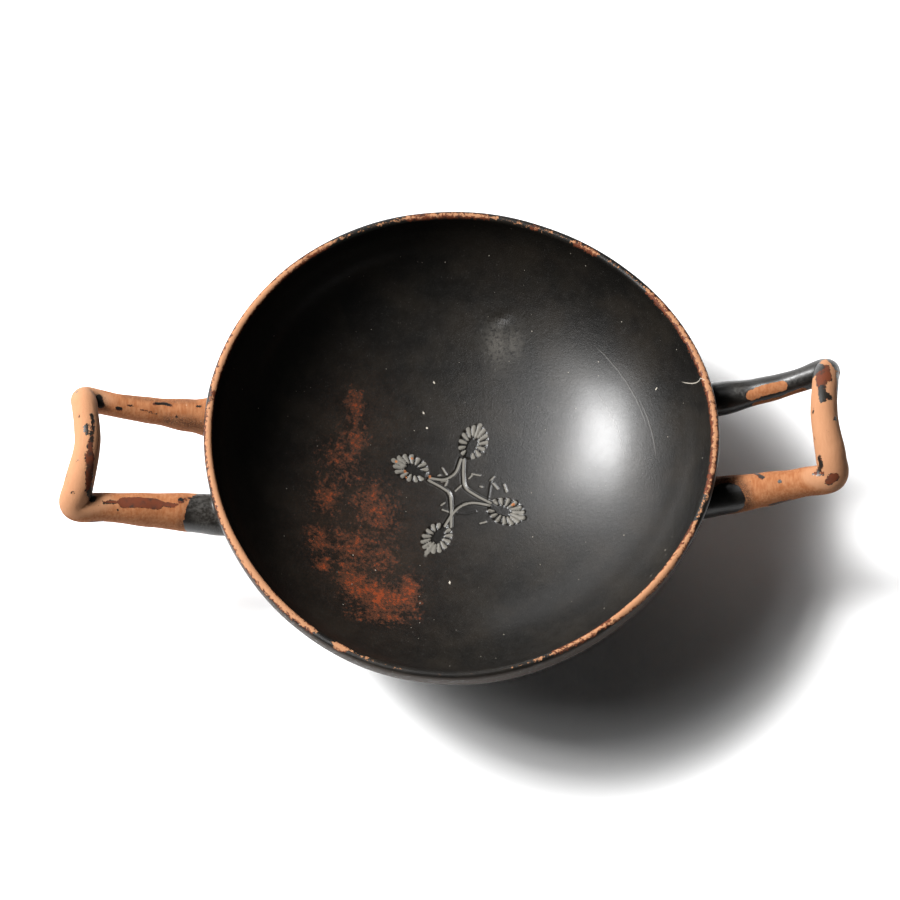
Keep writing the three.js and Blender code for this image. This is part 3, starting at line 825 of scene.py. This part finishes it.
# Each row is x, y and half the width of a mark, in mm.
FLECKS = [
    (-8.2, 35.6, 0.5), (-14.0, 69.6, 0.4), (-16.2, 54.4, 0.4), (36.3, 63.9, 0.5), (-10.4, 20.7, 0.45),
    (-19.0, -66.2, 0.5), (64.4, -31.9, 0.5), (-11.7, 26.0, 0.55), (-37.3, -35.2, 0.7), (-8.9, -34.4, 0.45),
    (-2.7, -34.7, 0.45), (-1.2, -34.2, 0.3), (5.8, -39.4, 0.35), (4.0, -59.2, 0.4), (-32.8, -62.3, 0.35),
    (-28.2, -49.2, 0.35), (63.1, 25.8, 0.4), (11.0, 56.6, 0.5), (15.5, 57.0, 0.4), (13.0, 57.6, 0.35),
]
BARE_SPOTS = [
    (17.6, -6.1, 0.55), (-20.3, 8.7, 0.5), (-15.2, 10.1, 0.45), (-17.4, 5.5, 0.5), (-17.0, 3.7, 0.4),
    (-9.3, 4.0, 0.45),
]
flecked = dotted(FLECKS)
bare_spots = dotted(BARE_SPOTS)
print(len(FLECKS), "flecks and", len(BARE_SPOTS), "bare spots")

# %% [markdown]
# ## The piece
# The mesh is scaled to metres and moved to where the solid stands, with its place in the mesh and
# the object itself at the origin. The measures of wear and of painted shade go along as attributes
# of its vertices.

# %% Make the finished object
to_frame = Matrix.Translation((BOWL_X * MM, 0, 0)) @ Matrix.Scale(MM, 4)
bmesh.ops.transform(cup_mesh, matrix=to_frame, verts=cup_mesh.verts)
kylix_data = bpy.data.meshes.new("kylix")
cup_mesh.to_mesh(kylix_data)
cup_mesh.free()
kylix = placed("kylix", kylix_data)
# Measures of wear, with painted shade in the handles' corners, on one root, and in the stamps.
WEAR_AND_SHADE = {
    "bare_clay": np.clip(np.maximum.reduce([lip_clay, handle_clay, reserved, bare_spots]), 0, 1),
    "scarred": np.clip(np.maximum(lip_scar, handle_scar), 0, 1),
    "misfired": misfired,
    "petal": petal,
    "groove": groove,
    "hollow": hollows,
    "edge_shade_and_scores": edge_shade_and_scores,
    "thumbed": np.clip(thumb_mark, 0, 1),
    "dented": np.clip(thumb_dent, 0, 1),
    "browned": browned,
    "lip": ease(np.abs(lip_way), 4, 2.6),
    "outer": outer_band,
    "greyed": greyed,
    "soot_and_shade": soot_and_shade,
    "flecked": flecked,
    "turning_a": turning[0],
    "turning_b": turning[1],
    "turning_c": turning[2],
}
for name, values in WEAR_AND_SHADE.items():
    layer = kylix_data.attributes.new(name, "FLOAT", "POINT")
    layer.data.foreach_set("value", values.astype(np.float32))
print("kylix:", len(kylix_data.vertices), "vertices,", len(kylix_data.loop_triangles), "triangles")

# %% [markdown]
# ## Shader maths as plain expressions
# A worn surface needs many small sums. A class that wraps one socket and knows plus, minus and
# times lets them read as arithmetic. One more method adds any other kind of node.

# %% A socket that can be added and multiplied
class Flow:
    """One output socket of a node tree, used like a number."""

    def __init__(self, paint, socket):
        self.paint = paint
        self.socket = socket

    def maths(self, operation, *values, clamp=False):
        inputs = dict(enumerate(values))
        return self.paint.node("ShaderNodeMath", {"operation": operation, "use_clamp": clamp}, inputs)

    def __add__(self, other):
        return self.maths("ADD", self, other)

    def __radd__(self, other):
        return self.maths("ADD", other, self)

    def __sub__(self, other):
        return self.maths("SUBTRACT", self, other)

    def __rsub__(self, other):
        return self.maths("SUBTRACT", other, self)

    def __mul__(self, other):
        return self.maths("MULTIPLY", self, other)

    def __rmul__(self, other):
        return self.maths("MULTIPLY", other, self)

    def __pow__(self, other):
        return self.maths("POWER", self, other)

    def distance_to(self, value):
        return self.maths("ABSOLUTE", self - value)

    def at_least(self, other):
        return self.maths("MAXIMUM", self, other)

    def held(self):
        return self.maths("ADD", self, 0.0, clamp=True)


# %% A material's node tree
class Paint:
    """A material under construction."""

    def __init__(self, name):
        self.material = bpy.data.materials.new(name)
        self.material.use_nodes = True
        self.tree = self.material.node_tree
        self.surface = self.tree.nodes["Principled BSDF"]

    def node(self, kind, settings=None, inputs=None, output=0):
        """Adds one node: its settings first, then the values or links of its sockets."""
        node = self.tree.nodes.new(kind)
        for name, value in (settings or {}).items():
            setattr(node, name, value)
        for key, value in (inputs or {}).items():
            self.feed(node.inputs[key], value)
        return Flow(self, node.outputs[output])

    def feed(self, socket, value):
        """Links a socket, or sets its value."""
        if isinstance(value, Flow):
            self.tree.links.new(value.socket, socket)
        else:
            socket.default_value = value

    def measure(self, name):
        """One measure of the piece's wear and painted shade."""
        return self.node("ShaderNodeAttribute", {"attribute_name": name}, output="Fac")

    def step(self, value, low, high):
        """A soft step from 0 at low to 1 at high."""
        inputs = {"Value": value, "From Min": low, "From Max": high}
        return self.node("ShaderNodeMapRange", {"interpolation_type": "SMOOTHSTEP"}, inputs)

    def mix(self, share, first, second):
        """A colour between two others."""
        return self.node("ShaderNodeMix", {"data_type": "RGBA"}, {0: share, 6: first, 7: second}, 2)

    def noise(self, place, scale, detail=4.0, roughness=0.6, distortion=0.0):
        """Cloudy noise, whose grain is about one over the scale."""
        inputs = {"Vector": place, "Scale": scale, "Detail": detail, "Roughness": roughness,
                  "Distortion": distortion}
        return self.node("ShaderNodeTexNoise", {}, inputs)

    def cells(self, place, scale, output="Distance"):
        """Distance to the nearest of many scattered points."""
        inputs = {"Vector": place, "Scale": scale, "Randomness": 1.0}
        return self.node("ShaderNodeTexVoronoi", {}, inputs, output)


glaze = Paint("worn_black_gloss")
kylix_data.materials.append(glaze.material)
print("material started:", glaze.material.name)

# %% [markdown]
# ## Worn black gloss
# The finish has layers, like the pot. The clay is orange and matt. The gloss over it is a dense
# near-black with a soft sheen. Between them, where the gloss is thin or burnt, lies a dark red.
# Worn petals and grooves are silver grey, and rubbed places are grey or brown and less shiny. Shade
# is painted dark into the stamps' hollows, along the grooves' edges and into the handles' corners.
# On top come pale specks of old lime. Layers are mixed one over another in the order in which they lie.

# %% Places and noises
raw_place = glaze.node("ShaderNodeTexCoord", output="Object")
place = glaze.node(
    "ShaderNodeMapping", {},
    {"Vector": raw_place, "Location": (-BOWL_X, 0, 0), "Scale": (1000, 1000, 1000)},
)
broad = glaze.noise(place, 0.06, 3.0)
patchy = glaze.noise(place, 0.35, 5.0, 0.65)
flakes = glaze.noise(place, 0.9, 6.0, 0.7)
grit = glaze.noise(place, 3.2, 3.0, 0.7)
mottle = glaze.noise(place, 1.1, 7.0, 0.75, 0.6)
streak_place = glaze.node("ShaderNodeMapping", {}, {"Vector": place, "Scale": (1.3, 0.22, 1.3)})
streaks = glaze.noise(streak_place, 1.0, 4.0, 0.6)
specks = glaze.cells(place, 0.42)
speck_chance = glaze.node("ShaderNodeSeparateColor", {}, {0: glaze.cells(place, 0.42, "Color")}, "Red")
dots = glaze.cells(place, 1.5)
dot_chance = glaze.node("ShaderNodeSeparateColor", {}, {0: glaze.cells(place, 1.5, "Color")}, "Red")
print("nodes after the noises:", len(glaze.tree.nodes))

# %% Turning marks and the crack, drawn from the distance to the axis and to a line
flat_place = glaze.node("ShaderNodeMapping", {}, {"Vector": place, "Scale": (1, 1, 0)})
from_axis = glaze.node("ShaderNodeVectorMath", {"operation": "LENGTH"}, {0: flat_place}, "Value")
wobble = (patchy - 0.5) * 0.5
turning_lines = 0.0
for (mark_radius, _, _), name in zip(TURNING_MARKS, ("turning_a", "turning_b", "turning_c")):
    line = glaze.step((from_axis - mark_radius + wobble).distance_to(0), 0.26, 0.06)
    turning_lines = turning_lines + line * glaze.measure(name)
CRACK_FROM = (69.9, 25.1)
CRACK_TO = (76.4, 19.3)
crack_angle = math.atan2(CRACK_TO[1] - CRACK_FROM[1], CRACK_TO[0] - CRACK_FROM[0])
crack_length = math.dist(CRACK_FROM, CRACK_TO)
from_start = glaze.node(
    "ShaderNodeMapping", {"vector_type": "TEXTURE"},
    {"Vector": flat_place, "Location": (*CRACK_FROM, 0), "Rotation": (0, 0, crack_angle)},
)
crack_along = glaze.node("ShaderNodeSeparateXYZ", {}, {0: from_start}, "X")
crack_aside = glaze.node("ShaderNodeSeparateXYZ", {}, {0: from_start}, "Y")
crack = glaze.step((crack_aside + wobble * 0.4).distance_to(0), 0.13, 0.03)
crack = crack * glaze.step(crack_along, 0.5, 3.0) * glaze.step(crack_along, crack_length + 1, crack_length)
print("turning marks:", len(TURNING_MARKS), "crack:", round(crack_length, 1), "mm")

# %% Masks
ragged = glaze.measure("lip")
edge_noise = ((flakes - 0.5) * 0.8 + (grit - 0.5) * 0.3) * (ragged * 1.3 + 1) + (patchy - 0.5) * ragged * 0.7
bare_mask = glaze.step(glaze.measure("bare_clay") + edge_noise, 0.48, 0.53)
scar_mask = glaze.step(glaze.measure("scarred") + edge_noise, 0.48, 0.54)
fire = glaze.measure("misfired")
near_fire = glaze.step(fire, 0.03, 0.2)
clumps = (patchy - 0.5) * 1.5 + (flakes - 0.5) * 1.9
burnt_mask = near_fire * glaze.step(fire + clumps * 0.8 + (mottle - 0.5) * 0.8, 0.22, 0.52)
misfire_mask = near_fire * glaze.step(fire * 0.9 + clumps + (grit - 0.5) * 0.9, 0.5, 0.8)
outer_mask = glaze.measure("outer") * glaze.step(flakes, 0.3, 0.5)
brown_mask = glaze.measure("browned") * glaze.step(mottle, 0.35, 0.75)
petal_mask = glaze.step(glaze.measure("petal") + (grit - 0.5) * 0.5, 0.2, 0.65)
groove_mask = glaze.step(glaze.measure("groove") + (grit - 0.5) * 0.5, 0.3, 0.7)
silver_mask = petal_mask.at_least(groove_mask)
# Painted shade: the stamps' hollows between the petals are darkened, and so are the grooves' edges.
hollow_shade_mask = glaze.measure("hollow") * (1 - silver_mask)
shade_and_score_mask = glaze.measure("edge_shade_and_scores").at_least(hollow_shade_mask)
thumb_mask = glaze.measure("thumbed") * glaze.step(flakes, 0.3, 0.6)
grey_mask = glaze.measure("greyed") * glaze.step(flakes, 0.38, 0.68)
# Soot, and painted shade in the handles' inner corners and under the rim on the right near root.
soot_and_shade_mask = (glaze.measure("soot_and_shade") * glaze.step(grit, 0.3, 0.62)).held()
speck_mask = glaze.step(speck_chance**3 * 0.1 - specks, 0.0, 0.025)
dot_mask = glaze.step(dot_chance**4 * 0.3 - dots, 0.0, 0.08) * glaze.step(patchy, 0.4, 0.6)
fleck_mask = glaze.step(glaze.measure("flecked") + (grit - 0.5) * 0.5, 0.52, 0.66)
dust_mask = glaze.step(grit, 0.5, 0.78) * glaze.step(patchy, 0.3, 0.7)
print("nodes after the masks:", len(glaze.tree.nodes))

# %% Colours
BLACK = (0.0042, 0.0038, 0.0033, 1)
BROWN_BLACK = (0.0095, 0.0078, 0.006, 1)
BURNT_BROWN = (0.028, 0.0145, 0.0085, 1)
BURNT_RED = (0.05, 0.0145, 0.0045, 1)
GREY = (0.07, 0.066, 0.06, 1)
THUMB_GREY = (0.075, 0.069, 0.06, 1)
CLAY = (0.205, 0.068, 0.022, 1)
PALE_CLAY = (0.275, 0.117, 0.05, 1)
LIP_CLAY = (0.31, 0.155, 0.08, 1)
DEEP_RED = (0.085, 0.019, 0.0055, 1)
MISFIRE_RED = (0.145, 0.024, 0.004, 1)
SILVER = (0.13, 0.121, 0.104, 1)
LIME = (0.38, 0.345, 0.29, 1)
# Soot black. It also serves as painted shade on the handles.
SOOT_AND_SHADE = (0.02, 0.013, 0.009, 1)
OUTER_BROWN = (0.04, 0.027, 0.019, 1)

gloss = glaze.mix(glaze.step(broad, 0.35, 0.7), BLACK, BROWN_BLACK)
gloss = glaze.mix(brown_mask * 0.8, gloss, BURNT_BROWN)
gloss = glaze.mix(dust_mask * 0.3, gloss, GREY)
gloss = glaze.mix(grey_mask * 0.6, gloss, GREY)
gloss = glaze.mix(thumb_mask * 0.7, gloss, THUMB_GREY)
gloss = glaze.mix(outer_mask * 0.8, gloss, OUTER_BROWN)
gloss = glaze.mix(dot_mask * 0.4, gloss, GREY)
gloss = glaze.mix(burnt_mask * 0.75, gloss, BURNT_RED)
gloss = glaze.mix(misfire_mask * 0.9, gloss, MISFIRE_RED)
gloss = glaze.mix(silver_mask * 0.85, gloss, SILVER)
# Painted shade in the stamps' hollows and along the grooves' edges, with the dark scores.
gloss = glaze.mix((shade_and_score_mask * 0.8).held(), gloss, BLACK)
gloss = glaze.mix(turning_lines * 0.5, gloss, GREY)
gloss = glaze.mix(scar_mask, gloss, glaze.mix(glaze.step(patchy, 0.45, 0.75), DEEP_RED, SOOT_AND_SHADE))
clay = glaze.mix(glaze.step(streaks * 0.6 + patchy * 0.4, 0.36, 0.64), CLAY, PALE_CLAY)
clay = glaze.mix(glaze.measure("lip") * 0.8, clay, LIP_CLAY)
# Darkens the clay with soot, and with painted shade in the corners and on one root.
clay = glaze.mix(soot_and_shade_mask * 0.85, clay, SOOT_AND_SHADE)
surface_colour = glaze.mix(bare_mask, gloss, clay)
pale_marks = (speck_mask * 0.6).at_least(fleck_mask).at_least(crack * 0.8)
surface_colour = glaze.mix(pale_marks, surface_colour, LIME)
glaze.feed(glaze.surface.inputs["Base Color"], surface_colour)
print("nodes after the colours:", len(glaze.tree.nodes))

# %% Sheen and fine relief
matt = bare_mask.at_least(pale_marks).at_least(scar_mask * 0.8).at_least(burnt_mask * 0.7)
matt = matt.at_least(outer_mask * 0.8)
shine = 0.4 + (patchy - 0.5) * 0.2 + dust_mask * 0.15 + silver_mask * 0.1 + grey_mask * 0.2
glaze.feed(glaze.surface.inputs["Roughness"], (shine * (1 - matt) + matt * 0.85).held())
coat = (1 - matt) * (0.3 - dust_mask * 0.15 - silver_mask * 0.3 - grey_mask * 0.25 - thumb_mask * 0.2)
glaze.feed(glaze.surface.inputs["Coat Weight"], coat.held())
glaze.surface.inputs["Coat Roughness"].default_value = 0.21
glaze.surface.inputs["Specular IOR Level"].default_value = 0.2
height_field = (grit - 0.5) * 0.06 + (flakes - 0.5) * 0.09 - bare_mask * 0.07 + pale_marks * 0.04
height_field = height_field - glaze.measure("dented") * 0.5 - turning_lines * 0.06
height_field = height_field + (streaks - 0.5) * 0.12 * bare_mask
bump = glaze.node("ShaderNodeBump", {}, {"Strength": 1.0, "Distance": MM, "Height": height_field})
glaze.feed(glaze.surface.inputs["Normal"], bump)
print("material nodes:", len(glaze.tree.nodes))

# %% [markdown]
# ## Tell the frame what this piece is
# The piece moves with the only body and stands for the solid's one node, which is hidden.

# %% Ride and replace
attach(kylix, "root")
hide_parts("kylix_cup")
